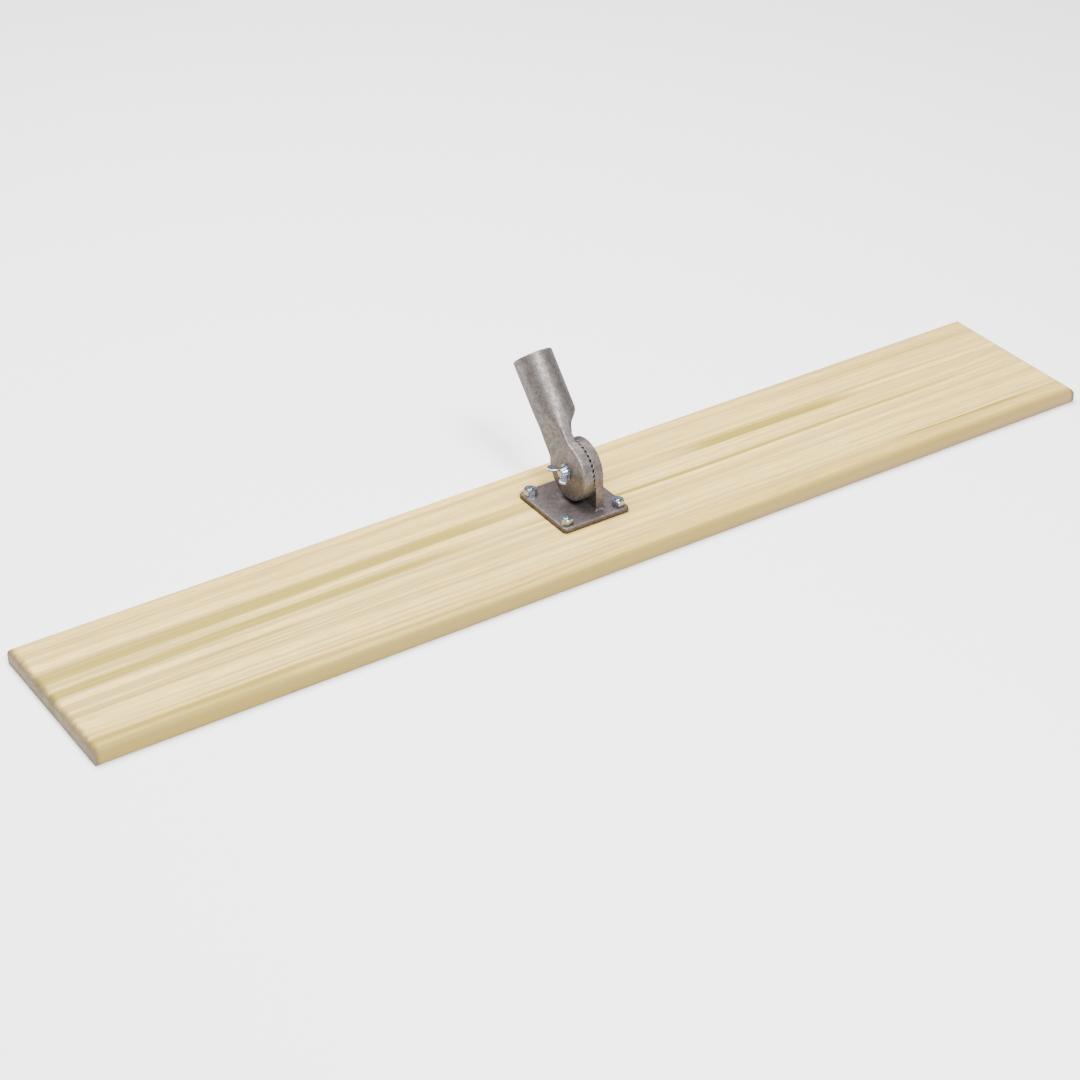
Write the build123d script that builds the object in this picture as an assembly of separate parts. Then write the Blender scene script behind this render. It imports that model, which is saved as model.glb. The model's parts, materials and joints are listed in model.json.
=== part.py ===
from build123d import *
import os
from math import radians

# A wooden bull float for levelling fresh concrete: a laminated blade, and a cast bracket whose
# handle socket tilts on a toothed pivot. All sizes are in millimetres.
#
# Frame: +X along the blade, +Y across it towards the side the socket leans to at rest, +Z up.
# The origin is the middle of the blade's flat underside.

# ---- Blade -------------------------------------------------------------------------------------
BLADE_LENGTH = 1219.2
BLADE_THICKNESS = 19.05
STAVE_WIDTH = 45.7           # of the three middle strips that the blade is glued up from
FAR_STAVE_WIDTH = 41.6       # the strip along the +Y edge
NEAR_STAVE_WIDTH = 24.5      # the narrow strip along the -Y edge
TOP_EDGE_RADIUS = 9.0        # round-over along all four top edges
BOTTOM_EDGE_RADIUS = 3.0     # eased long bottom edges, so that the blade doesn't dig in

# ---- Pivot and teeth ---------------------------------------------------------------------------
LUG_RADIUS = 33.2
LUG_TO_PLATE = 4.0           # gap under the round lug
TOOTH_PLANE_X = 4.7          # midway between the two toothed faces, from the plate's middle
TOOTH_RING_WIDTH = 14.2      # from the lug's edge inwards
TOOTH_COUNT = 36
TOOTH_DEPTH = 1.7
TOOTH_RING_BASE = 0.3        # solid ring under the teeth
TOOTH_GROOVE_SHARE = 0.64    # groove width at the tips, as a share of the pitch
TOOTH_TIP_GAP = 0.3          # from tip to tip with the clamp slack

# ---- Base casting ------------------------------------------------------------------------------
BRACKET_Y = 9.0              # the bracket's centre line, from the blade's middle
PLATE_THICKNESS = 6.35
PLATE_CORNER_RADIUS = 5.0
PLATE_EDGE_RADIUS = 2.0
PLATE_PAST_EAR = 13.3        # plate past each side of the ear, along Y
EAR_SETBACK = 1.0            # the ear's round top is this much smaller than the lug
EAR_THICKNESS = 10.0         # without its teeth
EAR_EDGE_RADIUS = 1.5
EAR_ROOT_RADIUS = 2.5        # fillet where the ear meets the plate

# ---- Socket casting ----------------------------------------------------------------------------
HANDLE_DIAMETER = 34.925     # 1-3/8 in pole
HANDLE_CLEARANCE = 0.25      # radial
SOCKET_WALL = 4.3
TUBE_LENGTH = 48.8           # the fully round part, up to the mouth
TUBE_EDGE_RADIUS = 0.8
BORE_PAST_TUBE = 5.0         # the bore runs this far down into the neck
LUG_THICKNESS = 11.8         # without its teeth
LUG_EDGE_RADIUS = 2.5
REST_ANGLE = 48.5            # socket axis above the horizontal, as stored
NECK_SIDE = 1.0              # the neck's foot is this much wider than the tube, on each side
NECK_ROOT_RADIUS = 8.0       # where the neck's sides run into the round lug
NECK_START = 2.8             # the neck starts to swell this far outside the lug's circle
NECK_LENGTH = 44.0           # from there to the fully round tube
NECK_TOP_INSET = 1.2         # of the neck's last section inside the tube
SHOULDER_START = 9.0         # the slope under the tube on the ear's side, from the neck's foot
SHOULDER_LENGTH = 16.0
SHOULDER_STEP = 3.0          # how far the slope's foot stands over the tooth tips
SHOULDER_RADIUS = 4.0

# ---- Fasteners, 5/16-18 ------------------------------------------------------------------------
BOLT_DIAMETER = 7.94
THREAD_CLEARANCE = 0.05      # radial, between a plain modelled thread and its nut
RUNNING_CLEARANCE = 0.08     # radial, pivot bolt in the socket's lug
HOLE_CLEARANCE = 0.3         # radial, bolt in a plain hole
FACE_GAP = 0.1               # between flat faces that turn on each other
HEX_ACROSS_FLATS = 1.6 * BOLT_DIAMETER
HEX_NUT_HEIGHT = 0.85 * BOLT_DIAMETER
HEX_HEAD_HEIGHT = 0.68 * BOLT_DIAMETER
HEX_CHAMFER = 0.8
BOLT_END_CHAMFER = 0.8
WASHER_DIAMETER = 2.2 * BOLT_DIAMETER
WASHER_THICKNESS = 1.2
WING_HUB_FOOT_WALL = 3.0     # around the bolt, at the seat
WING_HUB_TOP_WALL = 1.8
WING_HUB_HEIGHT = 6.2
WING_REACH = 10.0            # a wing's tip past the hub's foot
WING_HEIGHT = 14.8           # from the seat to the wing tips
WING_THICKNESS = 3.0
WING_TIP_RADIUS = 4.8
WING_ROOT = (1.0, 5.4)       # where a wing leaves the hub, heights above the seat
WING_REST_TURN = 9.0         # wings from the horizontal, degrees
BOLT_END_PROUD = 0.8         # pivot bolt past the wing nut's hub

SCREW_PAST_EAR = 15.65       # blade screws' axes from the ear's outer face, along X
SCREW_EDGE_X = 9.0           # from the screw's axis to the plate's edge
SCREW_EDGE_Y = 10.5
SCREW_HEAD_DIAMETER = 2 * BOLT_DIAMETER
SCREW_HEAD_RECESS = 0.6      # head below the blade's underside
SCREW_SLOT_WIDTH = 2.0
SCREW_SLOT_DEPTH = 1.6
SCREW_END_PROUD = 1.4        # screw past its nut
FASTENER_TURNS = (12.0, 41.0, 3.0, 26.0)   # how each screw and nut happens to stand, degrees

# ---- Places worked out from the sizes above ----------------------------------------------------
STAVE_WIDTHS = (FAR_STAVE_WIDTH, STAVE_WIDTH, STAVE_WIDTH, STAVE_WIDTH, NEAR_STAVE_WIDTH)
BLADE_WIDTH = sum(STAVE_WIDTHS)
BOLT_RADIUS = BOLT_DIAMETER / 2
PLATE_TOP = BLADE_THICKNESS + PLATE_THICKNESS
PIVOT_HEIGHT = LUG_RADIUS + LUG_TO_PLATE      # above the plate's top
PIVOT = Pos(0, BRACKET_Y, PLATE_TOP + PIVOT_HEIGHT)
TOOTH_RING_HEIGHT = TOOTH_DEPTH + TOOTH_RING_BASE
TOOTH_RING_INNER = LUG_RADIUS - TOOTH_RING_WIDTH

EAR_RADIUS = LUG_RADIUS - EAR_SETBACK         # of the ear's round top, and half its width
EAR_TIPS_X = TOOTH_PLANE_X + TOOTH_TIP_GAP / 2
EAR_X0 = EAR_TIPS_X + TOOTH_RING_HEIGHT
EAR_X1 = EAR_X0 + EAR_THICKNESS
LUG_TIPS_X = TOOTH_PLANE_X - TOOTH_TIP_GAP / 2
LUG_X1 = LUG_TIPS_X - TOOTH_RING_HEIGHT
LUG_X0 = LUG_X1 - LUG_THICKNESS
WASHER_X1 = LUG_X0 - FACE_GAP
WASHER_X0 = WASHER_X1 - WASHER_THICKNESS
NUT_SEAT_X = WASHER_X0 - FACE_GAP
BOLT_END_X = NUT_SEAT_X - WING_HUB_HEIGHT - BOLT_END_PROUD

TUBE_RADIUS = HANDLE_DIAMETER / 2 + HANDLE_CLEARANCE + SOCKET_WALL
TUBE_X = TOOTH_PLANE_X                        # the socket stands over the toothed faces
NECK_WIDTH = 2 * (TUBE_RADIUS + NECK_SIDE)
NECK_BOTTOM = LUG_RADIUS + NECK_START         # this and the next four from the pivot
SHOULDER_BOTTOM = NECK_BOTTOM + SHOULDER_START
SHOULDER_TOP = SHOULDER_BOTTOM + SHOULDER_LENGTH
NECK_TOP = NECK_BOTTOM + NECK_LENGTH
TUBE_END = NECK_TOP + TUBE_LENGTH
BORE_DEPTH = TUBE_LENGTH + BORE_PAST_TUBE

SCREW_X = EAR_X1 + SCREW_PAST_EAR             # from the plate's middle
PLATE_LENGTH = 2 * (SCREW_X + SCREW_EDGE_X)   # along X
PLATE_WIDTH = 2 * (EAR_RADIUS + PLATE_PAST_EAR)
SCREW_Y = PLATE_WIDTH / 2 - SCREW_EDGE_Y
SCREW_POINTS = [(sx * SCREW_X, BRACKET_Y + sy * SCREW_Y) for sx in (-1, 1) for sy in (-1, 1)]


# ---- Shapes used more than once ----------------------------------------------------------------
def along_x(radius, x0, x1):
    """A cylinder along X between two X values."""
    return Pos((x0 + x1) / 2, 0, 0) * Rot(0, 90, 0) * Cylinder(radius, abs(x1 - x0))


def hex_prism(height, chamfered_bottom=True):
    """A hexagon standing on Z = 0 with its corners chamfered."""
    corner_radius = RegularPolygon(HEX_ACROSS_FLATS / 2, 6, major_radius=False).radius
    prism = extrude(RegularPolygon(HEX_ACROSS_FLATS / 2, 6, major_radius=False), height)
    blank = Pos(0, 0, height / 2) * Cylinder(corner_radius, height)
    rims = blank.edges().filter_by(GeomType.CIRCLE).sort_by(Axis.Z)
    blank = chamfer(rims if chamfered_bottom else rims[-1:], HEX_CHAMFER)
    return prism & blank


def screw_head():
    """The countersunk head, upside down under the blade."""
    radius = SCREW_HEAD_DIAMETER / 2
    height = radius - BOLT_RADIUS
    return Pos(0, 0, SCREW_HEAD_RECESS + height / 2) * Cone(radius, BOLT_RADIUS, height)


def screw_hole():
    """The clearance hole, countersink and recess that one blade screw needs."""
    past = 1.0
    shaft = Cylinder(BOLT_RADIUS + HOLE_CLEARANCE, 2 * (PLATE_TOP + past))
    height = SCREW_HEAD_RECESS + past
    recess = Pos(0, 0, SCREW_HEAD_RECESS - height / 2) * Cylinder(SCREW_HEAD_DIAMETER / 2, height)
    return shaft + screw_head() + recess


def tooth_ring(tips_x, into, radius):
    """The toothed ring on one face: tips at tips_x, body towards into (+1 or -1 along X)."""
    ring = along_x(radius, tips_x, tips_x + into * TOOTH_RING_HEIGHT)
    ring -= along_x(TOOTH_RING_INNER, tips_x, tips_x + into * TOOTH_RING_HEIGHT)
    past = 0.5
    widening = 1 + past / TOOTH_DEPTH
    pitch_angle = 360 / TOOTH_COUNT

    def groove_section(at_radius):
        half_width = at_radius * radians(pitch_angle * TOOTH_GROOVE_SHARE) / 2 * widening
        outline = Polygon(
            (-into * past, -half_width), (-into * past, half_width), (into * TOOTH_DEPTH, 0), align=None
        )
        return Plane(origin=(tips_x, at_radius, 0), x_dir=(1, 0, 0), z_dir=(0, 1, 0)) * outline

    groove = loft([groove_section(TOOTH_RING_INNER - past), groove_section(radius + past)])
    return ring - [Rot(index * pitch_angle, 0, 0) * groove for index in range(TOOTH_COUNT)]


# ---- Blade -------------------------------------------------------------------------------------
def make_blade():
    """The whole blade, as it is once its strips are glued up and its edges rounded."""
    blade = Pos(0, 0, BLADE_THICKNESS / 2) * Box(BLADE_LENGTH, BLADE_WIDTH, BLADE_THICKNESS)
    blade = fillet(blade.faces().sort_by(Axis.Z)[-1].edges(), TOP_EDGE_RADIUS)
    return fillet(blade.faces().sort_by(Axis.Z)[0].edges().filter_by(Axis.X), BOTTOM_EDGE_RADIUS)


def make_staves():
    """The glued strips, from +Y to -Y, each with the screw holes that cross it."""
    blade = make_blade()
    holes = [Pos(x, y, 0) * screw_hole() for x, y in SCREW_POINTS]
    strips = []
    top = BLADE_WIDTH / 2
    for width in STAVE_WIDTHS:
        slot = Pos(0, top - width / 2, BLADE_THICKNESS / 2) * Box(BLADE_LENGTH, width, BLADE_THICKNESS)
        strips.append((blade & slot) - holes)
        top -= width
    return strips


# ---- Bracket, in the pivot's own frame ---------------------------------------------------------
def make_bracket_base():
    """The plate and its upright toothed ear, cast in one."""
    plate = Box(PLATE_LENGTH, PLATE_WIDTH, PLATE_THICKNESS)
    plate = Pos(0, 0, -PIVOT_HEIGHT - PLATE_THICKNESS / 2) * plate
    plate = fillet(plate.edges().filter_by(Axis.Z), PLATE_CORNER_RADIUS)
    plate = fillet(plate.faces().sort_by(Axis.Z)[-1].edges(), PLATE_EDGE_RADIUS)
    outline = Circle(EAR_RADIUS) + Pos(0, -PIVOT_HEIGHT / 2) * Rectangle(2 * EAR_RADIUS, PIVOT_HEIGHT)
    ear = extrude(Plane.YZ.offset(EAR_X0) * outline, EAR_THICKNESS)
    rim = ear.faces().sort_by(Axis.X)[-1].edges()
    rim = rim.filter_by(lambda edge: edge.center().Z > -PIVOT_HEIGHT + 0.1)
    ear = fillet(rim, EAR_EDGE_RADIUS)
    casting = plate + ear
    at_root = casting.edges().filter_by(
        lambda edge: abs(edge.center().Z + PIVOT_HEIGHT) < 0.01
        and abs(edge.center().X - (EAR_X0 + EAR_X1) / 2) < EAR_THICKNESS
        and abs(edge.center().Y) < EAR_RADIUS + 1
    )
    casting = fillet(at_root, EAR_ROOT_RADIUS)
    casting += tooth_ring(EAR_TIPS_X, 1, EAR_RADIUS)
    casting -= along_x(BOLT_RADIUS + HOLE_CLEARANCE, EAR_TIPS_X - 1, EAR_X1 + 1)
    holes = [Pos(x, y - BRACKET_Y, -PIVOT_HEIGHT - PLATE_TOP) * screw_hole() for x, y in SCREW_POINTS]
    return casting - holes


def neck_section(height, x0, x1, width, corner):
    """One rounded section of the neck, across the socket's axis."""
    return Plane.XY.offset(height) * Pos((x0 + x1) / 2, 0) * RectangleRounded(x1 - x0, width, corner)


def make_neck_and_tube():
    """The round tube and the neck that swells into it, upright, before the bore."""
    tube = Pos(TUBE_X, 0, (NECK_BOTTOM + TUBE_END) / 2) * Cylinder(TUBE_RADIUS, TUBE_END - NECK_BOTTOM)
    mouth = tube.edges().filter_by(GeomType.CIRCLE).sort_by(Axis.Z)[-1]
    tube = fillet(mouth, TUBE_EDGE_RADIUS)
    side = TUBE_RADIUS - NECK_TOP_INSET
    neck = loft(
        [
            neck_section(NECK_BOTTOM, LUG_X0, LUG_TIPS_X, NECK_WIDTH, LUG_EDGE_RADIUS),
            neck_section(NECK_TOP, TUBE_X - side, TUBE_X + side, 2 * side, side - 0.1),
        ],
        ruled=True,
    )
    past = 1.0
    profile = Polygon(
        (LUG_X0, NECK_BOTTOM),
        (TUBE_X - TUBE_RADIUS, NECK_TOP),
        (TUBE_X - TUBE_RADIUS - past, NECK_TOP + past),
        (TUBE_X - TUBE_RADIUS - past, TUBE_END + past),
        (TUBE_X + TUBE_RADIUS + past, TUBE_END + past),
        (TUBE_X + TUBE_RADIUS + past, SHOULDER_TOP + past),
        (TUBE_X + TUBE_RADIUS, SHOULDER_TOP),
        (LUG_TIPS_X + SHOULDER_STEP, SHOULDER_BOTTOM),
        (LUG_TIPS_X, SHOULDER_BOTTOM - 2 * SHOULDER_STEP),
        (LUG_TIPS_X, NECK_BOTTOM),
        align=None,
    )
    envelope = extrude(Plane.XZ * profile, 2 * TUBE_RADIUS, both=True)
    blank = (tube & envelope) + (neck & envelope)
    shoulder = blank.edges().filter_by(
        lambda edge: edge.center().X > TUBE_X + TUBE_RADIUS / 3 and edge.center().Z < SHOULDER_TOP + 1
    )
    return fillet(shoulder, SHOULDER_RADIUS)


def make_socket():
    """The toothed lug, the neck and the round handle socket, cast in one."""
    strap = Pos(0, SHOULDER_BOTTOM / 2) * Rectangle(NECK_WIDTH, SHOULDER_BOTTOM)
    outline = Circle(LUG_RADIUS) + strap
    inner_corners = outline.vertices().filter_by(lambda v: 1 < v.Y < LUG_RADIUS)
    outline = fillet(inner_corners, NECK_ROOT_RADIUS)
    lug = extrude(Plane.YZ.offset(LUG_X0) * outline, LUG_THICKNESS)
    rim = lug.faces().sort_by(Axis.X)[0].edges()
    rim = rim.filter_by(lambda edge: edge.center().Z < SHOULDER_BOTTOM - 1)
    lug = fillet(rim, LUG_EDGE_RADIUS)
    casting = lug + make_neck_and_tube()
    bore_radius = HANDLE_DIAMETER / 2 + HANDLE_CLEARANCE
    casting -= Pos(TUBE_X, 0, TUBE_END - BORE_DEPTH / 2) * Cylinder(bore_radius, BORE_DEPTH)
    casting = Rot(REST_ANGLE - 90, 0, 0) * casting
    casting += tooth_ring(LUG_TIPS_X, -1, LUG_RADIUS)
    return casting - along_x(BOLT_RADIUS + RUNNING_CLEARANCE, LUG_X0 - 1, LUG_TIPS_X + 1)


def make_pivot_bolt():
    """The hex-headed bolt that the socket turns on; its head seats on the ear."""
    head = Pos(EAR_X1, 0, 0) * Rot(0, 90, 0) * hex_prism(HEX_HEAD_HEIGHT, chamfered_bottom=False)
    shank = along_x(BOLT_RADIUS, BOLT_END_X, EAR_X1)
    shank = chamfer(shank.edges().filter_by(GeomType.CIRCLE).sort_by(Axis.X)[0], BOLT_END_CHAMFER)
    return head + shank


def make_washer():
    """The flat washer between the wing nut and the lug."""
    disc = along_x(WASHER_DIAMETER / 2, WASHER_X0, WASHER_X1)
    return disc - along_x(BOLT_RADIUS + HOLE_CLEARANCE, WASHER_X0 - 1, WASHER_X1 + 1)


def make_wing_nut():
    """The clamping nut: a tapered hub with two rounded wings."""
    hub = Cone(BOLT_RADIUS + WING_HUB_FOOT_WALL, BOLT_RADIUS + WING_HUB_TOP_WALL, WING_HUB_HEIGHT)
    hub = Pos(0, 0, WING_HUB_HEIGHT / 2) * hub
    tip_x = BOLT_RADIUS + WING_HUB_FOOT_WALL + WING_REACH - WING_TIP_RADIUS
    tip = Pos(tip_x, WING_HEIGHT - WING_TIP_RADIUS) * Circle(WING_TIP_RADIUS)
    root_x = BOLT_RADIUS + 1
    root = Line((root_x, WING_ROOT[0]), (root_x, WING_ROOT[1]))
    outline = make_hull(tip.edges() + root.edges())
    wing = extrude(Plane.XZ * outline, WING_THICKNESS / 2, both=True)
    wing = fillet(wing.faces().filter_by(Axis.Y).edges().filter_by(GeomType.CIRCLE), WING_THICKNESS / 3)
    nut = hub + wing + Rot(0, 0, 180) * wing
    nut -= Pos(0, 0, WING_HUB_HEIGHT / 2) * Cylinder(BOLT_RADIUS + THREAD_CLEARANCE, 2 * WING_HUB_HEIGHT)
    upright = Rot(0, -90, 0) * nut
    return Pos(NUT_SEAT_X, 0, 0) * Rot(90 + WING_REST_TURN, 0, 0) * upright


# ---- Blade screws and their nuts, in the blade's frame -----------------------------------------
def make_blade_screws():
    """Four flat-head screws up through blade and plate."""
    top = PLATE_TOP + HEX_NUT_HEIGHT + SCREW_END_PROUD
    shank = Pos(0, 0, (SCREW_HEAD_RECESS + top) / 2) * Cylinder(BOLT_RADIUS, top - SCREW_HEAD_RECESS)
    shank = chamfer(shank.edges().filter_by(GeomType.CIRCLE).sort_by(Axis.Z)[-1], BOLT_END_CHAMFER)
    slot = Pos(0, 0, SCREW_HEAD_RECESS) * Box(SCREW_HEAD_DIAMETER, SCREW_SLOT_WIDTH, 2 * SCREW_SLOT_DEPTH)
    screw = screw_head() + shank - slot
    places = zip(SCREW_POINTS, FASTENER_TURNS)
    return Compound([Pos(x, y, 0) * Rot(0, 0, turn) * screw for (x, y), turn in places])


def make_blade_nuts():
    """Four hex nuts on the plate."""
    nut = hex_prism(HEX_NUT_HEIGHT)
    nut -= Pos(0, 0, HEX_NUT_HEIGHT / 2) * Cylinder(BOLT_RADIUS + THREAD_CLEARANCE, 2 * HEX_NUT_HEIGHT)
    places = zip(SCREW_POINTS, FASTENER_TURNS)
    return Compound([Pos(x, y, PLATE_TOP) * Rot(0, 0, turn) * nut for (x, y), turn in places])


# ---- Every node --------------------------------------------------------------------------------
nodes = {f"blade_stave_{index}": strip for index, strip in enumerate(make_staves(), start=1)}
nodes["bracket_base"] = PIVOT * make_bracket_base()
nodes["handle_socket"] = PIVOT * make_socket()
nodes["pivot_bolt"] = PIVOT * make_pivot_bolt()
nodes["pivot_washer"] = PIVOT * make_washer()
nodes["wing_nut"] = PIVOT * make_wing_nut()
nodes["blade_screws"] = make_blade_screws()
nodes["blade_nuts"] = make_blade_nuts()

os.makedirs("parts", exist_ok=True)
for name, shape in nodes.items():
    export_step(shape, f"parts/{name}.step")
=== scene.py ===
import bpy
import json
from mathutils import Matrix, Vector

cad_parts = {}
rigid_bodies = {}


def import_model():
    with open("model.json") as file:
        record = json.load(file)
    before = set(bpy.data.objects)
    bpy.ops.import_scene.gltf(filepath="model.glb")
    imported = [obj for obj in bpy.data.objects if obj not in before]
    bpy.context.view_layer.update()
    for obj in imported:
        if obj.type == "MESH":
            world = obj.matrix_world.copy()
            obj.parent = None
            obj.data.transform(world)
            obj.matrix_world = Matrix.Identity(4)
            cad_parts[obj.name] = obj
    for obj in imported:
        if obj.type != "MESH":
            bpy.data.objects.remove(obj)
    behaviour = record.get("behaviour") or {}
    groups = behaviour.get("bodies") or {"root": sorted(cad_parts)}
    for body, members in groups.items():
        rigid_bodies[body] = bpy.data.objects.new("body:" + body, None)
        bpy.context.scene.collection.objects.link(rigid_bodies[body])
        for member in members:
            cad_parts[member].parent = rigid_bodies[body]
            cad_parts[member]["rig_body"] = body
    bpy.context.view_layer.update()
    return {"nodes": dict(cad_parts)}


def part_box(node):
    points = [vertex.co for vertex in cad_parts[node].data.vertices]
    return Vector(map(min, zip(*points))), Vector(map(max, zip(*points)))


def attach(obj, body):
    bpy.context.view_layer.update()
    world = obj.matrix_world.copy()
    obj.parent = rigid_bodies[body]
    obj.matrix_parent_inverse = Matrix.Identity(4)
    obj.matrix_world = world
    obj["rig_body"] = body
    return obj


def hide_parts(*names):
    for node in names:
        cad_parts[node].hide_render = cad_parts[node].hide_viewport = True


bl_info = {
    "name": "Wooden bull float",
    "version": (1, 0, 0),
    "blender": (4, 5, 0),
    "location": "3D View > Sidebar > Bull float",
    "description": "Finishes a wooden bull float: blade, castings, fasteners and a plain stage",
    "category": "Object",
}

import json
import math
from typing import NamedTuple

import bmesh
import bpy
from mathutils import Matrix, Vector, noise

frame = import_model()

STAVES = [f"blade_stave_{index}" for index in range(1, 6)]
MM = 0.001
TURN = 2 * math.pi
NECK_START = 30 * MM  # from the pivot to where the neck's blend begins
NECK_END = 100 * MM  # from the pivot to where it ends
SENSOR_WIDTH = 36  # millimetres


# ---- Settings that a user would change ----------------------------------------------------------
def colour(name, description, default):
    return bpy.props.FloatVectorProperty(
        name=name, description=description, default=default, size=3, min=0, max=1, subtype="COLOR"
    )


def length(name, description, default):
    return bpy.props.FloatProperty(
        name=name, description=description, default=default, min=0, precision=5, unit="LENGTH"
    )


def number(name, description, default):
    return bpy.props.FloatProperty(name=name, description=description, default=default, min=0)


def angle(name, description, degrees):
    return bpy.props.FloatProperty(
        name=name, description=description, default=math.radians(degrees), subtype="ANGLE"
    )


class BladeSettings(bpy.types.PropertyGroup):
    """Colours and grain of the wooden blade."""

    sapwood: colour("Sapwood", "Pale colour of the clear wood", (0.80, 0.555, 0.175))
    late_wood: colour("Late wood", "Colour of the darker grain lines", (0.35, 0.250, 0.082))
    heartwood: colour("Heartwood", "Colour of the green-brown streaks", (0.245, 0.182, 0.014))
    # Real end grain colour made darker as painted shade on the sawn ends; also the colour of the
    # painted contact shade low on the sides
    end_grain_and_shade: colour("End grain", "Colour of the sawn ends", (0.100, 0.074, 0.038))
    # Painted shade: a darker wood colour laid on the outer long sides in place of the shade that
    # falls there
    side_shade_tone: colour("Edge", "Colour of the sanded long edges", (0.30, 0.203, 0.082))
    ring_spacing: length("Ring spacing", "Distance between growth rings", 5.5 * MM)
    glue_line: length("Glue line", "Seen width of a glue line between two strips", 0.35 * MM)


class CastingSettings(bpy.types.PropertyGroup):
    """Skin and colours of the two castings."""

    grey: colour("Grey", "Main colour of the cast skin", (0.175, 0.158, 0.152))
    brown: colour("Brown", "Colour of the warm stains", (0.100, 0.084, 0.078))
    pale: colour("Pale", "Colour where the skin is rubbed", (0.33, 0.30, 0.285))
    base_tone: colour("Base tone", "Main colour of the base plate", (0.150, 0.127, 0.126))
    rim_tint: colour("Rim tint", "Tint of grazing reflections", (0.45, 0.43, 0.42))
    # Painted shade: a dark colour laid low on the plate next to the wood, and how far up it
    # reaches
    low_shade_tone: colour("Foot tone", "Colour of the grime low on the plate", (0.035, 0.032, 0.040))
    low_shade_height: length("Foot height", "How far the grime reaches up from the wood", 6.0 * MM)
    grain_size: length("Skin step", "Size of the steps that the cast skin is formed in", 0.7 * MM)
    ripple: length("Ripple", "Depth of the uneven cast skin", 0.14 * MM)
    lean: angle("Lean", "Socket's axis above the horizontal", 48.5)
    neck_passes: bpy.props.IntProperty(
        name="Neck passes", description="How often the neck is smoothed", default=60, min=1
    )


class FastenerSettings(bpy.types.PropertyGroup):
    """Sizes and colour of the zinc plated fasteners."""

    zinc: colour("Zinc", "Colour of the bright plating", (0.35, 0.405, 0.495))
    bolt_diameter: length("Bolt diameter", "Outside diameter of every thread", 7.94 * MM)
    pitch: length("Pitch", "Distance between threads", 1.411 * MM)
    thread_depth: length("Thread depth", "From crest to root", 0.8 * MM)
    head_seat: length("Head seat", "Bolt head's height, from its top to where it seats", 5.4 * MM)
    plain_shank: length("Plain shank", "Part of the pivot bolt that has no thread", 14 * MM)
    blend: length("Wing nut step", "Size of the steps the wing nut is formed in", 0.25 * MM)


class StageSettings(bpy.types.PropertyGroup):
    """Floor, lights and camera."""

    floor_size: length("Floor size", "Side of the square floor", 14.0)
    azimuth: angle("Azimuth", "Camera direction round the float", -32.52)
    elevation: angle("Elevation", "Camera height angle", 32.7)
    roll: angle("Roll", "Camera tilt about its own line of sight", -0.87)
    distance: length("Distance", "Camera to the point it looks at", 2.83)
    look_x: bpy.props.FloatProperty(name="Look at X", default=-0.0522, unit="LENGTH")
    look_y: bpy.props.FloatProperty(name="Look at Y", default=-0.0048, unit="LENGTH")
    lens: number("Lens", "Focal length on a 36 mm sensor, in millimetres", 89.5)
    key_power: number("Key light", "Power of the large overhead light, in watts", 280)
    side_power: number("Side light", "Power of the light on the socket, in watts", 135)
    sky: number("Sky", "Strength of the even light all round", 0.42)


# ---- Shader maths -------------------------------------------------------------------------------
class Signal:
    """A shader socket, so that an expression on values adds its own nodes."""

    def __init__(self, shader, socket):
        self.shader = shader
        self.socket = socket

    def maths(self, operation, *values):
        inputs = dict(enumerate(values))
        return self.shader.node("ShaderNodeMath", {"operation": operation}, inputs)

    def __add__(self, other):
        return self.maths("ADD", self, other)

    def __sub__(self, other):
        return self.maths("SUBTRACT", self, other)

    def __rsub__(self, other):
        return self.maths("SUBTRACT", other, self)

    def __mul__(self, other):
        return self.maths("MULTIPLY", self, other)

    def __truediv__(self, other):
        return self.maths("DIVIDE", self, other)

    def __pow__(self, other):
        return self.maths("POWER", self, other)

    def __abs__(self):
        return self.maths("ABSOLUTE", self)

    __radd__ = __add__

    def sine(self):
        return self.maths("SINE", self)

    def or_larger(self, other):
        return self.maths("MAXIMUM", self, other)


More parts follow.
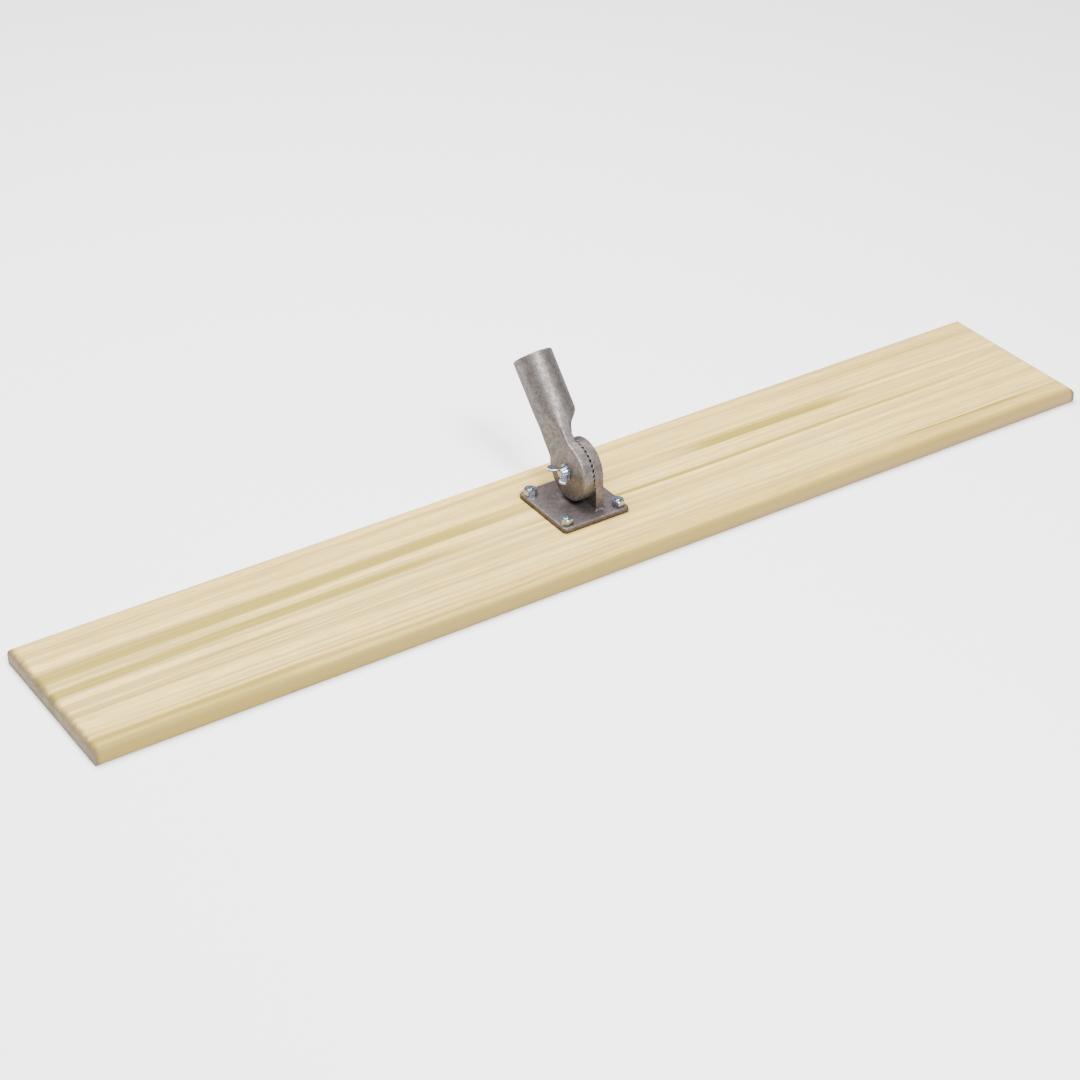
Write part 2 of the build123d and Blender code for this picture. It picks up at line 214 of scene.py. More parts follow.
class Shader:
    """One material and the few kinds of node that the finishes are made of."""

    def __init__(self, name):
        self.material = bpy.data.materials.new(name)
        self.material.use_nodes = True
        self.tree = self.material.node_tree
        self.tree.nodes.clear()

    def node(self, kind, settings=None, inputs=None, output=0):
        """Adds any node: its settings first, then the values or links of its sockets."""
        node = self.tree.nodes.new(kind)
        for key, value in (settings or {}).items():
            setattr(node, key, value)
        for key, value in (inputs or {}).items():
            if isinstance(value, Signal):
                self.tree.links.new(value.socket, node.inputs[key])
            else:
                node.inputs[key].default_value = value
        return Signal(self, node.outputs[output])

    def place(self):
        """X, Y and Z on the piece, in metres."""
        point = self.node("ShaderNodeTexCoord", output="Object")
        return [
            self.node("ShaderNodeSeparateXYZ", inputs={"Vector": point}, output=axis)
            for axis in "XYZ"
        ]

    def point(self, x, y, z):
        return self.node("ShaderNodeCombineXYZ", inputs={"X": x, "Y": y, "Z": z})

    def clouds(self, point, scale, detail=3.0, roughness=0.5, distortion=0.0):
        inputs = {
            "Vector": point, "Scale": scale, "Detail": detail,
            "Roughness": roughness, "Distortion": distortion,
        }
        return self.node("ShaderNodeTexNoise", inputs=inputs, output="Fac")

    def rise(self, value, low, high):
        """0 below low, 1 above high, and a smooth rise between; low may be the larger."""
        inputs = {"Value": value, "From Min": low, "From Max": high}
        return self.node("ShaderNodeMapRange", {"interpolation_type": "SMOOTHSTEP"}, inputs)

    def mix(self, factor, first, second):
        """From the first colour to the second."""
        first, second = (c if isinstance(c, Signal) else (*c, 1.0) for c in (first, second))
        inputs = {0: factor, 6: first, 7: second}
        settings = {"data_type": "RGBA", "clamp_factor": True}
        return self.node("ShaderNodeMix", settings, inputs, output=2)

    def bump(self, height, depth, under=None):
        """A normal raised by height, which runs from 0 to 1 over depth in metres."""
        inputs = {"Height": height, "Distance": depth, "Strength": 1.0}
        if under is not None:
            inputs["Normal"] = under
        return self.node("ShaderNodeBump", inputs=inputs)

    def finish(self, **inputs):
        """Ends in a Principled surface. Names have underscores for spaces."""
        named = {key.replace("_", " "): value for key, value in inputs.items()}
        surface = self.node("ShaderNodeBsdfPrincipled", inputs=named)
        output = self.tree.nodes.new("ShaderNodeOutputMaterial")
        self.tree.links.new(surface.socket, output.inputs["Surface"])
        return self.material


# ---- Finishes -----------------------------------------------------------------------------------
def darker(tone, share):
    """A colour with only a share of its light."""
    return [share * channel for channel in tone]


class Layer(NamedTuple):
    """One layer of noise in a skin, and how much of a colour it lays on."""

    cells: object  # per metre; three numbers where X, Y and Z differ
    detail: float
    roughness: float = 0.5
    low: float = 0.0  # where the layer begins to show
    high: float = 1.0  # where it shows in full
    strength: float = 1.0
    distortion: float = 0.0

    def value(self, shader, point):
        """The noise at a point, whose X, Y and Z are stretched beforehand where they differ."""
        scale = 1.0 if isinstance(self.cells, tuple) else self.cells
        return shader.clouds(point, scale, self.detail, self.roughness, self.distortion)

    def stretched(self, shader, x, y, z, shift):
        """The noise at a place, with its cells stretched and the whole of it shifted along X."""
        along, across, through = self.cells
        point = shader.point(x * along + shift, y * across, z * through)
        return self.value(shader, point)

    def shown(self, shader, value):
        return shader.rise(value, self.low, self.high)


DRIFT = Layer((1.6, 7, 7), 2.0)
WAVE = Layer((7, 24, 24), 2.0)
RING_JITTER = Layer((0.9, 90, 0), 3.0)
BANDS = Layer((0.8, 60, 40), 3.0, 0.6, 0.46, 0.66, 0.42)
GRAIN = Layer((1.1, 130, 90), 4.0, 0.62, 0.46, 0.60, 0.75)
PATCHES = Layer((2.4, 22, 22), 3.0, 0.5, 0.50, 0.72, 0.22)
FIBRE = Layer((26, 700, 700), 3.0, 0.65, 0.42, 0.66, 0.50)
PORES = Layer((45, 1700, 1700), 2.0, 0.5, 0.62, 0.78, 0.45)
END_PORES = Layer((1, 1400, 1400), 2.0, 0.5, 0.5, 0.7, 0.3)

RING_LOW, RING_HIGH = -0.4, 1.0  # of the rings' wave, from early to late wood
RING_STRENGTH = 0.30
HEART_STEP = 22 * MM  # sideways, from one strip's heart to the next
HEART_BELOW, HEART_ABOVE = -85 * MM, 60 * MM
DRIFT_REACH = 16 * MM  # how far the grain wanders sideways along the blade
WAVE_REACH = 7 * MM  # the same for its short waves
JITTER_TURNS = 2.2
SEED_STEP = 3.7  # moves each strip to its own part of the noise
QUIET_SHARE = 0.55  # of the grain's contrast, at the blade's right end
QUIET_X, BUSY_X = 350 * MM, -250 * MM
EDGE_BAND = 7 * MM  # how far in from the outer long sides the painted shade reaches, and how far in the sawn ends' colour (end grain and painted shade) reaches
LOW_SHADE_SHARE = 0.55  # of the blade's thickness that gets painted contact shade along its sides
LOW_SHADE_STRENGTH = 0.45
RAGGED = 0.38  # how much of a streak the grain breaks up
GLUE_STRENGTH = 0.55
HEART_STRENGTH = 0.95
SAWN_STRENGTH = 0.86
SAWN_RINGS = 0.45

# Each strip's own tint, from the far edge to the near one.
STAVE_TINTS = (
    (0.96, 0.95, 0.90),
    (1.00, 0.99, 0.98),
    (1.03, 1.03, 1.05),
    (0.92, 0.92, 0.88),
    (0.82, 0.80, 0.68),
)

# Streaks in the blade, in millimetres: where one starts and ends along the blade, its place across
# the blade at each end, half its width, and how strong it is. One that starts at OFF_END runs out
# past the blade's left end.
OFF_END = -640
STREAKS = (
    (OFF_END, 60, 25, 36, 11.0, 0.85),
    (OFF_END, -380, 33, 34, 5.0, 0.55),
    (120, 430, 32, 30, 8.0, 0.95),
    (40, 640, 41, 40, 2.4, 0.55),
    (OFF_END, -60, -3.5, 2.0, 7.5, 1.00),
    (-190, 640, 1.5, -5.5, 3.4, 0.95),
    (-500, -320, -27, -24.5, 2.4, 0.60),
    (OFF_END, -200, -44, -41, 1.8, 0.35),
    (300, 570, -55, -57, 2.6, 0.30),
    (330, 590, -75.6, -82.6, 2.4, 1.00),
    (OFF_END, -240, 71, 73, 3.2, 0.40),
    (220, 640, 74, 71, 4.2, 0.40),
    (OFF_END, 640, -96, -94, 9.0, 0.40),
    (OFF_END, -330, -92, -90, 9.0, 0.85),
)
STREAK_FADE = 0.3  # of its length, at each end
STREAK_RIM, STREAK_CORE = 1.08, 0.62  # of its half width: where it begins, and where it is full


def streak(wood, x, y, start, end, place_start, place_end, half_width, strength):
    """How much heartwood one streak leaves at a point."""
    fade = STREAK_FADE * (end - start)
    share = (x - start * MM) / ((end - start) * MM)
    middle = share * ((place_end - place_start) * MM) + place_start * MM
    rim, core = (reach * half_width * MM for reach in (STREAK_RIM, STREAK_CORE))
    across = wood.rise(abs(y - middle), rim, core)
    along = wood.rise(x, end * MM, (end - fade) * MM)
    if start > OFF_END:
        along = wood.rise(x, start * MM, (start + fade) * MM) * along
    return across * along * strength


def heart_streaks(wood, x, y, low, high):
    """All the heartwood in one strip, or None if no streak reaches it."""
    heart = None
    for start, end, first, last, half_width, strength in STREAKS:
        middle = (first + last) / 2 * MM
        if low.y - half_width * MM < middle < high.y + half_width * MM:
            mask = streak(wood, x, y, start, end, first, last, half_width, strength)
            heart = mask if heart is None else heart.or_larger(mask)
    return heart


def heart_distance(y, z, low, high, seed):
    """Distance from the heart of the tree, which lies above or below the strip."""
    heart_y = (low.y + high.y) / 2 + (seed % 3 - 1) * HEART_STEP
    heart_z = HEART_BELOW if seed % 2 else HEART_ABOVE
    return ((y - heart_y) * (y - heart_y) + (z - heart_z) * (z - heart_z)) ** 0.5


def wood_finish(settings, stave, seed, tint):
    """Pale sanded wood, grain along X, with this strip's own rings, streaks and glue lines,
    painted shade on the outer long sides, and sawn ends darkened partly as painted shade.
    """
    low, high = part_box(stave)
    wood = Shader(f"{stave}_wood")
    x, y, z = wood.place()
    shift = SEED_STEP * seed

    bent_y = y + (DRIFT.stretched(wood, x, y, z, shift) - 0.5) * DRIFT_REACH
    radius = heart_distance(bent_y, z, low, high, seed)
    jitter = RING_JITTER.stretched(wood, x, radius, z, shift)
    turns = radius / settings.ring_spacing + jitter * JITTER_TURNS
    rings = wood.rise((turns * TURN).sine(), RING_LOW, RING_HIGH)

    wavy_y = bent_y + (WAVE.stretched(wood, x, y, z, shift) - 0.5) * WAVE_REACH
    grain = GRAIN.stretched(wood, x, wavy_y, z, shift)
    fibre = FIBRE.stretched(wood, x, wavy_y, z, shift)
    pores = PORES.shown(wood, PORES.stretched(wood, x, y, z, shift))
    patches = PATCHES.stretched(wood, x, y, z, shift)
    bands = BANDS.stretched(wood, x, bent_y, z, 2 * shift)
    busy = QUIET_SHARE + wood.rise(x, QUIET_X, BUSY_X) * (1 - QUIET_SHARE)

    skin = [c * t for c, t in zip(settings.sapwood, tint)]
    late = [c * t for c, t in zip(settings.late_wood, tint)]
    # The outermost strips get painted shade on their outer long sides
    if stave in (STAVES[0], STAVES[-1]):
        outside = high.y if stave == STAVES[0] else -low.y
        edge = wood.rise(abs(y), outside - EDGE_BAND, outside - 1 * MM)
        skin = wood.mix(edge, skin, settings.side_shade_tone)
        # Painted contact shade: the lower part of the outer sides turns towards the dark end grain
        # colour
        low_shade = edge * wood.rise(z, high.z * LOW_SHADE_SHARE, 0.0)
        skin = wood.mix(low_shade * LOW_SHADE_STRENGTH, skin, settings.end_grain_and_shade)
    skin = wood.mix(rings * RING_STRENGTH, skin, late)
    shown = BANDS.shown(wood, bands) * busy * BANDS.strength
    skin = wood.mix(shown, skin, settings.heartwood)
    skin = wood.mix(GRAIN.shown(wood, grain) * busy * GRAIN.strength, skin, late)
    shown = PATCHES.shown(wood, patches) * PATCHES.strength
    skin = wood.mix(shown, skin, settings.heartwood)
    skin = wood.mix(FIBRE.shown(wood, fibre) * FIBRE.strength, skin, late)

    heart = heart_streaks(wood, x, bent_y, low, high)
    if heart is not None:
        ragged = heart * (1 - RAGGED + wood.rise(grain, 0.25, 0.6) * RAGGED)
        skin = wood.mix(ragged * HEART_STRENGTH, skin, settings.heartwood)
    skin = wood.mix(pores * PORES.strength, skin, darker(settings.late_wood, 0.6))

    # The sawn ends: end grain, darkened further as painted shade
    at_end = wood.rise(abs(x), high.x - EDGE_BAND, high.x - 0.5 * MM)
    end_pores = END_PORES.shown(wood, END_PORES.stretched(wood, x, y, z, 0.0))
    sawn = wood.mix(rings * SAWN_RINGS, settings.end_grain_and_shade, darker(settings.end_grain_and_shade, 0.7))
    sawn = wood.mix(end_pores * END_PORES.strength, sawn, darker(settings.end_grain_and_shade, 0.55))
    skin = wood.mix(at_end * SAWN_STRENGTH, skin, sawn)

    for side, outermost in ((low.y, STAVES[-1]), (high.y, STAVES[0])):
        if stave != outermost:
            glue = wood.rise(abs(y - side), settings.glue_line, 0.0)
            skin = wood.mix(glue * GLUE_STRENGTH, skin, darker(settings.late_wood, 0.55))

    normal = wood.bump(fibre + grain * 0.6, depth=0.06 * MM)
    normal = wood.bump(1 - pores, depth=0.05 * MM, under=normal)
    return wood.finish(
        Base_Color=skin, Roughness=0.52 + fibre * 0.16, Normal=normal, Specular_IOR_Level=0.35
    )


MOTTLE = Layer(150, 5.0, 0.68, 0.40, 0.62, 0.75, distortion=0.2)
STAINS = Layer(48, 5.0, 0.66, 0.50, 0.72, 0.35)
SAND = Layer(620, 3.0, 0.65, 0.42, 0.60, 0.52)
PITS = Layer(300, 2.0, 0.5, 0.68, 0.76, 0.75)
CAST_SHADE_STRENGTH = 0.8


def cast_finish(settings, name, main, shift):
    """Sand-cast metal: mottled grey-brown skin with dark pits, and painted shade low down next to
    the wood.
    """
    cast = Shader(name)
    x, y, z = cast.place()
    point = cast.point(x + shift, y, z)
    mottle, stains, sand = (layer.value(cast, point) for layer in (MOTTLE, STAINS, SAND))
    pits = PITS.shown(cast, PITS.value(cast, point))
    skin = cast.mix(MOTTLE.shown(cast, mottle) * MOTTLE.strength, main, settings.brown)
    skin = cast.mix(STAINS.shown(cast, stains) * STAINS.strength, skin, settings.pale)
    skin = cast.mix(SAND.shown(cast, sand) * SAND.strength, skin, darker(main, 0.40))
    skin = cast.mix(pits * PITS.strength, skin, darker(main, 0.25))
    # Painted shade low on the casting, next to the wood
    wood_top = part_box(STAVES[2])[1].z
    low_shade = cast.rise(z, wood_top + settings.low_shade_height, wood_top)
    skin = cast.mix(low_shade * CAST_SHADE_STRENGTH, skin, settings.low_shade_tone)
    normal = cast.bump(mottle + sand * 0.45, depth=0.50 * MM)
    normal = cast.bump(1 - pits, depth=0.22 * MM, under=normal)
    roughness = 0.27 + mottle * 0.20 + sand * 0.14
    edge_tint = (*settings.rim_tint, 1.0)
    return cast.finish(
        Base_Color=skin, Roughness=roughness, Normal=normal, Metallic=0.72, Specular_Tint=edge_tint
    )


CLOUDING = Layer(260, 4.0, 0.6, 0.42, 0.75, 0.6)
SCUFFS = Layer((500, 2200, 900), 2.0, 0.5, 0.6, 0.75, 0.12)


def zinc_finish(settings, name, shift):
    """Bright zinc plating, slightly blue, with faint clouding and small scuffs."""
    zinc = Shader(name)
    x, y, z = zinc.place()
    clouding = CLOUDING.value(zinc, zinc.point(x + shift, y, z))
    scuffs = SCUFFS.stretched(zinc, x, y, z, shift)
    shown = CLOUDING.shown(zinc, clouding) * CLOUDING.strength
    skin = zinc.mix(shown, settings.zinc, darker(settings.zinc, 0.62))
    normal = zinc.bump(clouding + scuffs * 0.4, depth=0.035 * MM)
    roughness = 0.18 + clouding * 0.16 + SCUFFS.shown(zinc, scuffs) * SCUFFS.strength
    return zinc.finish(Base_Color=skin, Roughness=roughness, Normal=normal, Metallic=1.0)


# ---- Mesh helpers -------------------------------------------------------------------------------
def paint(piece, material):
    """Gives every face of a piece one material."""
    piece.data.materials.clear()
    piece.data.materials.append(material)


def merged_copy(node, name):
    """A CAD node's mesh as one joined mesh in a new object at the origin."""
    mesh = bpy.data.meshes.new(name)
    joined = bmesh.new()
    joined.from_mesh(frame["nodes"][node].data)
    bmesh.ops.remove_doubles(joined, verts=joined.verts, dist=0.002 * MM)
    joined.to_mesh(mesh)
    joined.free()
    piece = bpy.data.objects.new(name, mesh)
    bpy.context.scene.collection.objects.link(piece)
    return piece


def settle(piece):
    """Turns a piece with modifiers into a plain mesh and takes the modifiers off."""
    evaluated = piece.evaluated_get(bpy.context.evaluated_depsgraph_get())
    mesh = bpy.data.meshes.new_from_object(evaluated)
    piece.modifiers.clear()
    piece.data = mesh
    mesh.name = piece.name


def formed_copy(node, name, step, passes):
    """A copy of a CAD node with every edge softened, as metal leaves a mould."""
    piece = merged_copy(node, name)
    skin = piece.modifiers.new("skin", "REMESH")
    skin.mode = "VOXEL"
    skin.voxel_size = step
    soften = piece.modifiers.new("soften", "SMOOTH")
    soften.factor = 0.5
    soften.iterations = passes
    settle(piece)
    for face in piece.data.polygons:
        face.use_smooth = True
    return piece


def soften_between(piece, start, direction, near, far, passes):
    """Smooths the skin between two distances from a point, with a quarter to fade at each end."""
    group = piece.vertex_groups.new(name="soft")
    for vertex in piece.data.vertices:
        share = ((vertex.co - start).dot(direction) - near) / (far - near)
        if 0 < share < 1:
            group.add([vertex.index], min(1.0, 4 * share, 4 * (1 - share)), "REPLACE")
    soften = piece.modifiers.new("soften_between", "SMOOTH")
    soften.factor = 0.5
    soften.iterations = passes
    soften.vertex_group = group.name
    settle(piece)


def ripple(piece, depth, seed):
    """Sinks the skin unevenly, never outwards, so that the piece keeps to its size."""
    places = [vertex.co.copy() for vertex in piece.data.vertices]
    normals = [vertex.normal.copy() for vertex in piece.data.vertices]
    offset = Vector((seed, 2.3 * seed, 0))
    for vertex, place, normal in zip(piece.data.vertices, places, normals):
        broad = noise.noise((place + offset) * 110)
        fine = noise.noise((place + offset) * 420)
        sink = 0.5 + 0.38 * broad + 0.22 * fine
        vertex.co = place - normal * depth * min(max(sink, 0.0), 1.0)
    piece.data.update()


def keep_side(piece, point, direction):
    """Cuts a piece by a plane, keeps the side that direction points to and closes the cut."""
    mesh = bmesh.new()
    mesh.from_mesh(piece.data)
    parts = mesh.verts[:] + mesh.edges[:] + mesh.faces[:]
    cut = bmesh.ops.bisect_plane(
        mesh, geom=parts, plane_co=point, plane_no=direction, clear_inner=True, dist=0.001 * MM
    )
    rim = [edge for edge in cut["geom_cut"] if isinstance(edge, bmesh.types.BMEdge)]
    bmesh.ops.edgenet_fill(mesh, edges=rim)
    bmesh.ops.recalc_face_normals(mesh, faces=mesh.faces)
    mesh.to_mesh(piece.data)
    mesh.free()


def join(pieces, name):
    """Joins meshes into the first object."""
    mesh = bmesh.new()
    for piece in pieces:
        mesh.from_mesh(piece.data)
    mesh.to_mesh(pieces[0].data)
    mesh.free()
    for piece in pieces[1:]:
        bpy.data.objects.remove(piece)
    pieces[0].name = name
    return pieces[0]


# ---- Threads ------------------------------------------------------------------------------------
THREAD_SIDES = 40
RINGS_A_TURN = 8
FLANK = 2.3  # slope of the V; above 2 its crest is flat
OVERLAP = 0.5 * MM  # how far a shank reaches into its head


class NodeTree:
    """A geometry tree with named inputs, filled one node at a time."""

    def __init__(self, name, inputs):
        self.tree = bpy.data.node_groups.new(name, "GeometryNodeTree")
        geometry = "NodeSocketGeometry"
        self.tree.interface.new_socket("Geometry", in_out="INPUT", socket_type=geometry)
        for label, (kind, default) in inputs.items():
            socket = self.tree.interface.new_socket(label, in_out="INPUT", socket_type=kind)
            if default is not None:
                socket.default_value = default
        self.tree.interface.new_socket("Geometry", in_out="OUTPUT", socket_type=geometry)
        self.source = self.tree.nodes.new("NodeGroupInput")
        self.sink = self.tree.nodes.new("NodeGroupOutput")

    def given(self, label):
        return self.source.outputs[label]

    def node(self, kind, settings=None, inputs=None, output=0):
        node = self.tree.nodes.new(kind)
        for key, value in (settings or {}).items():
            setattr(node, key, value)
        for key, value in (inputs or {}).items():
            if isinstance(value, bpy.types.NodeSocket):
                self.tree.links.new(value, node.inputs[key])
            else:
                node.inputs[key].default_value = value
        return node.outputs[output]

    def maths(self, operation, *values):
        return self.node("ShaderNodeMath", {"operation": operation}, dict(enumerate(values)))

    def finish(self, geometry, material):
        geometry = self.node("GeometryNodeRealizeInstances", inputs={"Geometry": geometry})
        inputs = {"Geometry": geometry, "Material": material}
        geometry = self.node("GeometryNodeSetMaterial", inputs=inputs)
        self.tree.links.new(geometry, self.sink.inputs["Geometry"])
        return self.tree


def thread_tree():
    """A threaded rod on each point: a fine cylinder whose skin follows a V-shaped helix."""
    sizes = ("Radius", "Length", "Pitch", "Depth", "Plain length")
    inputs = {label: ("NodeSocketFloat", 1.0) for label in sizes}
    inputs["Rings"] = ("NodeSocketInt", 64)
    inputs["Direction"] = ("NodeSocketVector", None)
    inputs["Material"] = ("NodeSocketMaterial", None)
    tree = NodeTree("threaded_rod", inputs)
    rod = tree.node(
        "GeometryNodeMeshCylinder",
        {"fill_type": "NGON"},
        {
            "Vertices": THREAD_SIDES, "Side Segments": tree.given("Rings"),
            "Radius": tree.given("Radius"), "Depth": tree.given("Length"),
        },
    )
    place = tree.node("GeometryNodeInputPosition")
    x, y, z = (
        tree.node("ShaderNodeSeparateXYZ", inputs={"Vector": place}, output=axis) for axis in "XYZ"
    )
    half = tree.maths("DIVIDE", tree.given("Length"), 2.0)
    from_end = tree.maths("SUBTRACT", half, z)
    turn = tree.maths("DIVIDE", tree.maths("ARCTAN2", y, x), TURN)
    phase = tree.maths("ADD", tree.maths("DIVIDE", z, tree.given("Pitch")), turn)
    valley = tree.maths("ABSOLUTE", tree.maths("SUBTRACT", tree.maths("FRACT", phase), 0.5))
    crest = tree.maths("MINIMUM", tree.maths("MULTIPLY", valley, FLANK), 1.0)
    sunk = tree.maths("MULTIPLY", tree.maths("SUBTRACT", 1.0, crest), tree.given("Depth"))

    plain = tree.maths("ADD", z, half)
    plain = tree.maths("SUBTRACT", plain, tree.given("Plain length"))
    run_out = tree.maths("DIVIDE", plain, tree.given("Pitch"))
    run_out = tree.node("ShaderNodeClamp", inputs={"Value": run_out})
    sunk = tree.maths("MULTIPLY", sunk, run_out)
    point_end = tree.maths("MAXIMUM", tree.maths("SUBTRACT", tree.given("Depth"), from_end), 0.0)
    sunk = tree.maths("MAXIMUM", sunk, point_end)

    share = tree.maths("DIVIDE", sunk, tree.given("Radius"))
    flat = tree.node("ShaderNodeCombineXYZ", inputs={"X": x, "Y": y})
    inward = tree.node(
        "ShaderNodeVectorMath",
        {"operation": "SCALE"},
        {"Vector": flat, "Scale": tree.maths("MULTIPLY", share, -1.0)},
    )
    rod = tree.node("GeometryNodeSetPosition", inputs={"Geometry": rod, "Offset": inward})
    turned = tree.node(
        "FunctionNodeAlignRotationToVector", {"axis": "Z"}, {"Vector": tree.given("Direction")}
    )
    rods = tree.node(
        "GeometryNodeInstanceOnPoints",
        inputs={"Points": tree.given("Geometry"), "Instance": rod, "Rotation": turned},
    )
    return tree.finish(rods, tree.given("Material"))


def threaded_rods(settings, name, middles, direction, rod_length, plain_length, material):
    """Threaded rods centred on the given points, as a plain mesh."""
    mesh = bpy.data.meshes.new(name)
    mesh.from_pydata(middles, [], [])
    piece = bpy.data.objects.new(name, mesh)
    bpy.context.scene.collection.objects.link(piece)
    modifier = piece.modifiers.new("thread", "NODES")
    modifier.node_group = thread_tree()
    values = {
        "Radius": settings.bolt_diameter / 2,
        "Length": rod_length,
        "Pitch": settings.pitch,
        "Depth": settings.thread_depth,
        "Plain length": plain_length,
        "Rings": round(RINGS_A_TURN * rod_length / settings.pitch),
        "Direction": direction,
        "Material": material,
    }
    for socket in modifier.node_group.interface.items_tree:
        if socket.name in values and socket.in_out == "INPUT":
            modifier[socket.identifier] = values[socket.name]
    settle(piece)
    return piece


# ---- Pieces -------------------------------------------------------------------------------------
class FLOAT_OT_blade(bpy.types.Operator):
    """Gives each glued strip of the blade its own wood"""

    bl_idname = "bull_float.blade"
    bl_label = "Wooden blade"

    def execute(self, context):
        settings = context.scene.float_blade
        for seed, (stave, tint) in enumerate(zip(STAVES, STAVE_TINTS), start=1):
            paint(frame["nodes"][stave], wood_finish(settings, stave, seed, tint))
        return {"FINISHED"}


class FLOAT_OT_castings(bpy.types.Operator):
    """Forms the base plate with its ear, and the handle socket, with an uneven cast skin"""

    bl_idname = "bull_float.castings"
    bl_label = "Castings"

    def execute(self, context):
        settings = context.scene.float_casting
        tones = {"bracket_base": settings.base_tone, "handle_socket": settings.grey}
        for seed, (node, tone) in enumerate(tones.items(), start=1):
            casting = formed_copy(node, f"{node}_casting", settings.grain_size, passes=3)
            if node == "handle_socket":
                low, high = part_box("pivot_bolt")
                pivot = (low + high) / 2
                lean = Vector((0, math.cos(settings.lean), math.sin(settings.lean)))
                soften_between(casting, pivot, lean, NECK_START, NECK_END, settings.neck_passes)
            ripple(casting, settings.ripple, seed)
            paint(casting, cast_finish(settings, f"{node}_cast_metal", tone, seed))
            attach(casting, frame["nodes"][node]["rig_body"])
            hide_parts(node)
        return {"FINISHED"}


class FLOAT_OT_pivot(bpy.types.Operator):
    """Makes the pivot bolt with its thread, the washer and the wing nut"""

    bl_idname = "bull_float.pivot"
    bl_label = "Pivot bolt and wing nut"

    def execute(self, context):
        settings = context.scene.float_fasteners
        zinc = zinc_finish(settings, "pivot_zinc", 1.0)
        low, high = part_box("pivot_bolt")
        seat = high.x - settings.head_seat
        head = merged_copy("pivot_bolt", "pivot_bolt_head")
        keep_side(head, (seat, 0, 0), (1, 0, 0))
        reach = seat + OVERLAP - low.x
        middle = (low.x + reach / 2, (low.y + high.y) / 2, (low.z + high.z) / 2)
        plain = settings.plain_shank
        shank = threaded_rods(
            settings, "pivot_bolt_shank", [middle], (-1, 0, 0), reach, plain, zinc
        )
        bolt = join([head, shank], "pivot_bolt_threaded")
        nut = formed_copy("wing_nut", "wing_nut_forged", settings.blend, passes=6)
        for piece, node in ((bolt, "pivot_bolt"), (nut, "wing_nut")):
            paint(piece, zinc)
            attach(piece, frame["nodes"][node]["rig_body"])
            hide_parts(node)
        paint(frame["nodes"]["pivot_washer"], zinc)
        return {"FINISHED"}


class FLOAT_OT_blade_fasteners(bpy.types.Operator):
    """Makes the four blade screws with their threads, and plates their nuts"""

    bl_idname = "bull_float.blade_fasteners"
    bl_label = "Blade screws and nuts"

    def execute(self, context):
        settings = context.scene.float_fasteners
        zinc = zinc_finish(settings, "screw_zinc", 5.0)
        low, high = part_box("blade_screws")
        head_radius = settings.bolt_diameter
        cone_height = head_radius - settings.bolt_diameter / 2
        neck = low.z + cone_height - 0.1 * MM
        heads = merged_copy("blade_screws", "blade_screw_heads")
        keep_side(heads, (0, 0, neck), (0, 0, -1))
        start = neck - OVERLAP
        middles = [
            (x, y, (start + high.z) / 2)
            for x in (low.x + head_radius, high.x - head_radius)
            for y in (low.y + head_radius, high.y - head_radius)
        ]
        shanks = threaded_rods(
            settings, "blade_screw_shanks", middles, (0, 0, 1), high.z - start, 0.0, zinc
        )
        screws = join([heads, shanks], "blade_screws_threaded")
        paint(screws, zinc)
        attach(screws, "float")
        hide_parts("blade_screws")
        paint(frame["nodes"]["blade_nuts"], zinc)
        return {"FINISHED"}


# ---- Stage --------------------------------------------------------------------------------------
FLOOR_DROP = 0.2 * MM  # keeps the floor and the blade's underside from sharing a plane
KEY_LIGHT = {"place": (-0.3, 0.7, 2.6), "target": (0, 0, 0), "size": (2.6, 2.0)}
SIDE_LIGHT = {"place": (-0.19, -1.81, 2.0), "target": (0, 0.05, 0.12), "size": (0.6, 0.6)}


def floor_finish():
    """Plain pale floor."""
    floor = Shader("pale_floor")
    x, y, z = floor.place()
    patches = floor.clouds(floor.point(x, y, z), scale=3, detail=2.0)
    shade = floor.mix(patches, (0.90, 0.90, 0.90), (0.92, 0.92, 0.92))
    return floor.finish(Base_Color=shade, Roughness=0.9, Specular_IOR_Level=0.1)


def area_light(name, power, place, target, size):
    """A soft rectangular light that shines from a place towards a target."""
    light = bpy.data.lights.new(name, "AREA")
    light.shape = "RECTANGLE"
    light.size, light.size_y = size
    light.energy = power
    lamp = bpy.data.objects.new(name, light)
    lamp.location = place
    lamp.rotation_euler = (Vector(target) - Vector(place)).to_track_quat("-Z", "Y").to_euler()
    bpy.context.scene.collection.objects.link(lamp)


class FLOAT_OT_stage(bpy.types.Operator):
    """Makes the pale floor, the soft lights and the camera"""

    bl_idname = "bull_float.stage"
    bl_label = "Stage"

    def execute(self, context):
        settings = context.scene.float_stage
        half = settings.floor_size / 2
        corners = [(-half, -half), (half, -half), (half, half), (-half, half)]
        mesh = bpy.data.meshes.new("floor")
        mesh.from_pydata([(x, y, -FLOOR_DROP) for x, y in corners], [], [(0, 1, 2, 3)])
        floor = bpy.data.objects.new("floor", mesh)
        context.scene.collection.objects.link(floor)
        paint(floor, floor_finish())

        area_light("key_light", settings.key_power, **KEY_LIGHT)
        area_light("side_light", settings.side_power, **SIDE_LIGHT)
        world = bpy.data.worlds.new("even_sky")
        world.use_nodes = True
        sky = world.node_tree.nodes["Background"]
        sky.inputs["Color"].default_value = (1.0, 1.0, 1.0, 1.0)
        sky.inputs["Strength"].default_value = settings.sky
        context.scene.world = world
        place_camera(context, settings)
        return {"FINISHED"}


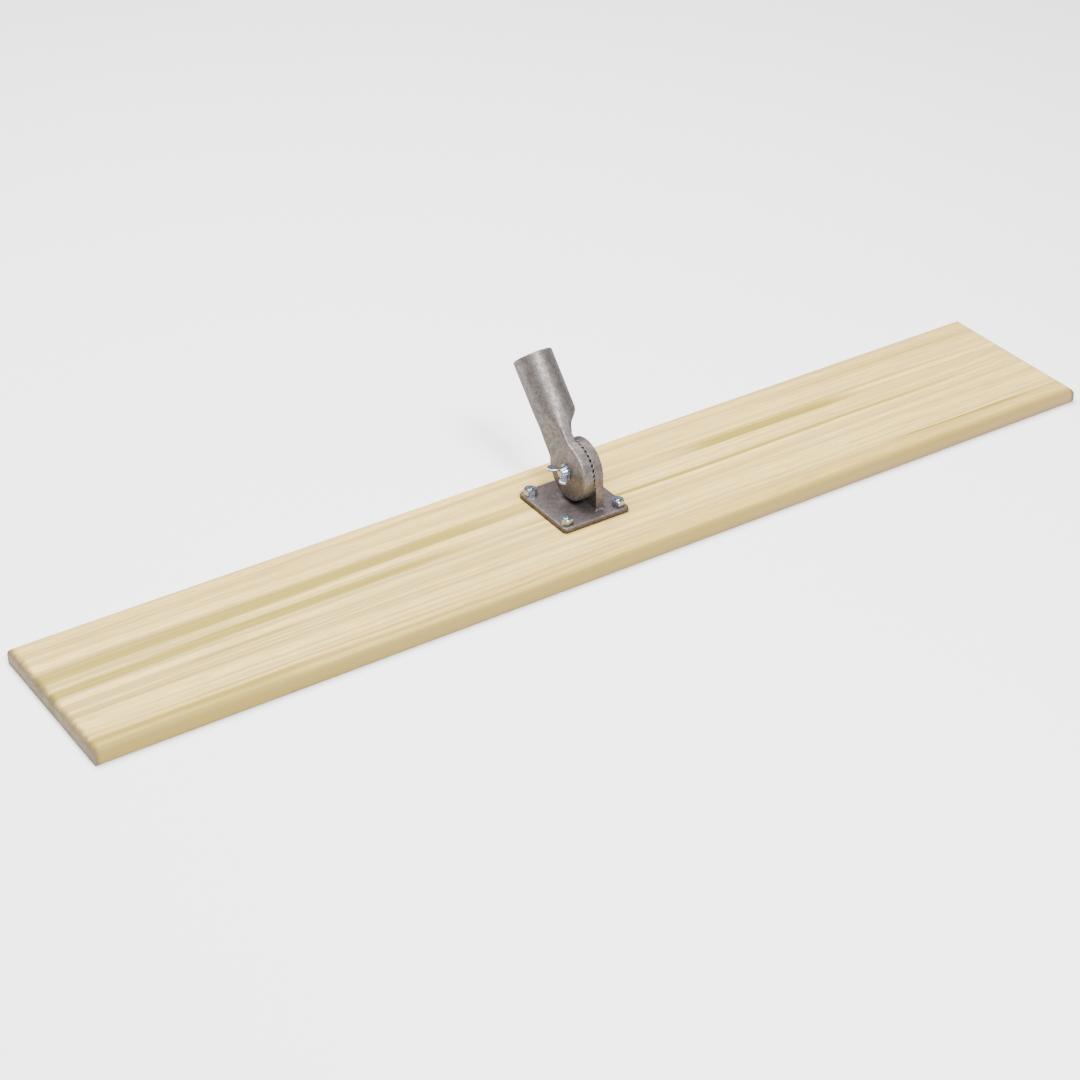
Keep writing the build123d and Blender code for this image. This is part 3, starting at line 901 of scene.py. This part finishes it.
def place_camera(context, settings):
    """Looks at the float from the set direction and distance."""
    cosine = math.cos(settings.elevation)
    back = Vector(
        (
            math.sin(settings.azimuth) * cosine,
            -math.cos(settings.azimuth) * cosine,
            math.sin(settings.elevation),
        )
    )
    target = Vector((settings.look_x, settings.look_y, 0))
    roll = Matrix.Rotation(settings.roll, 4, "Z")
    turn = back.to_track_quat("Z", "Y").to_matrix().to_4x4() @ roll
    data = bpy.data.cameras.new("camera")
    data.lens = settings.lens
    data.sensor_width = SENSOR_WIDTH
    camera = bpy.data.objects.new("camera", data)
    camera.matrix_world = Matrix.Translation(target + back * settings.distance) @ turn
    context.scene.collection.objects.link(camera)
    context.scene.camera = camera


# ---- Panel and registration ---------------------------------------------------------------------
class FLOAT_PT_panel(bpy.types.Panel):
    """Lists the float's settings and the buttons that make its pieces."""

    bl_label = "Bull float"
    bl_idname = "FLOAT_PT_panel"
    bl_space_type = "VIEW_3D"
    bl_region_type = "UI"
    bl_category = "Bull float"

    def draw(self, context):
        for name, operators in STEPS.items():
            box = self.layout.box()
            settings = getattr(context.scene, name)
            for setting in type(settings).__annotations__:
                box.prop(settings, setting)
            for operator in operators:
                box.operator(operator.bl_idname)


STEPS = {
    "float_blade": [FLOAT_OT_blade],
    "float_casting": [FLOAT_OT_castings],
    "float_fasteners": [FLOAT_OT_pivot, FLOAT_OT_blade_fasteners],
    "float_stage": [FLOAT_OT_stage],
}
SETTINGS = {
    "float_blade": BladeSettings,
    "float_casting": CastingSettings,
    "float_fasteners": FastenerSettings,
    "float_stage": StageSettings,
}


def register():
    for name, group in SETTINGS.items():
        bpy.utils.register_class(group)
        setattr(bpy.types.Scene, name, bpy.props.PointerProperty(type=group))
    for operators in STEPS.values():
        for operator in operators:
            bpy.utils.register_class(operator)
    bpy.utils.register_class(FLOAT_PT_panel)


def unregister():
    bpy.utils.unregister_class(FLOAT_PT_panel)
    for operators in STEPS.values():
        for operator in operators:
            bpy.utils.unregister_class(operator)
    for name, group in SETTINGS.items():
        delattr(bpy.types.Scene, name)
        bpy.utils.unregister_class(group)


def main():
    register()
    bpy.ops.bull_float.blade()
    bpy.ops.bull_float.castings()
    bpy.ops.bull_float.pivot()
    bpy.ops.bull_float.blade_fasteners()
    bpy.ops.bull_float.stage()
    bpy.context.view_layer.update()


if __name__ == "__main__":
    main()
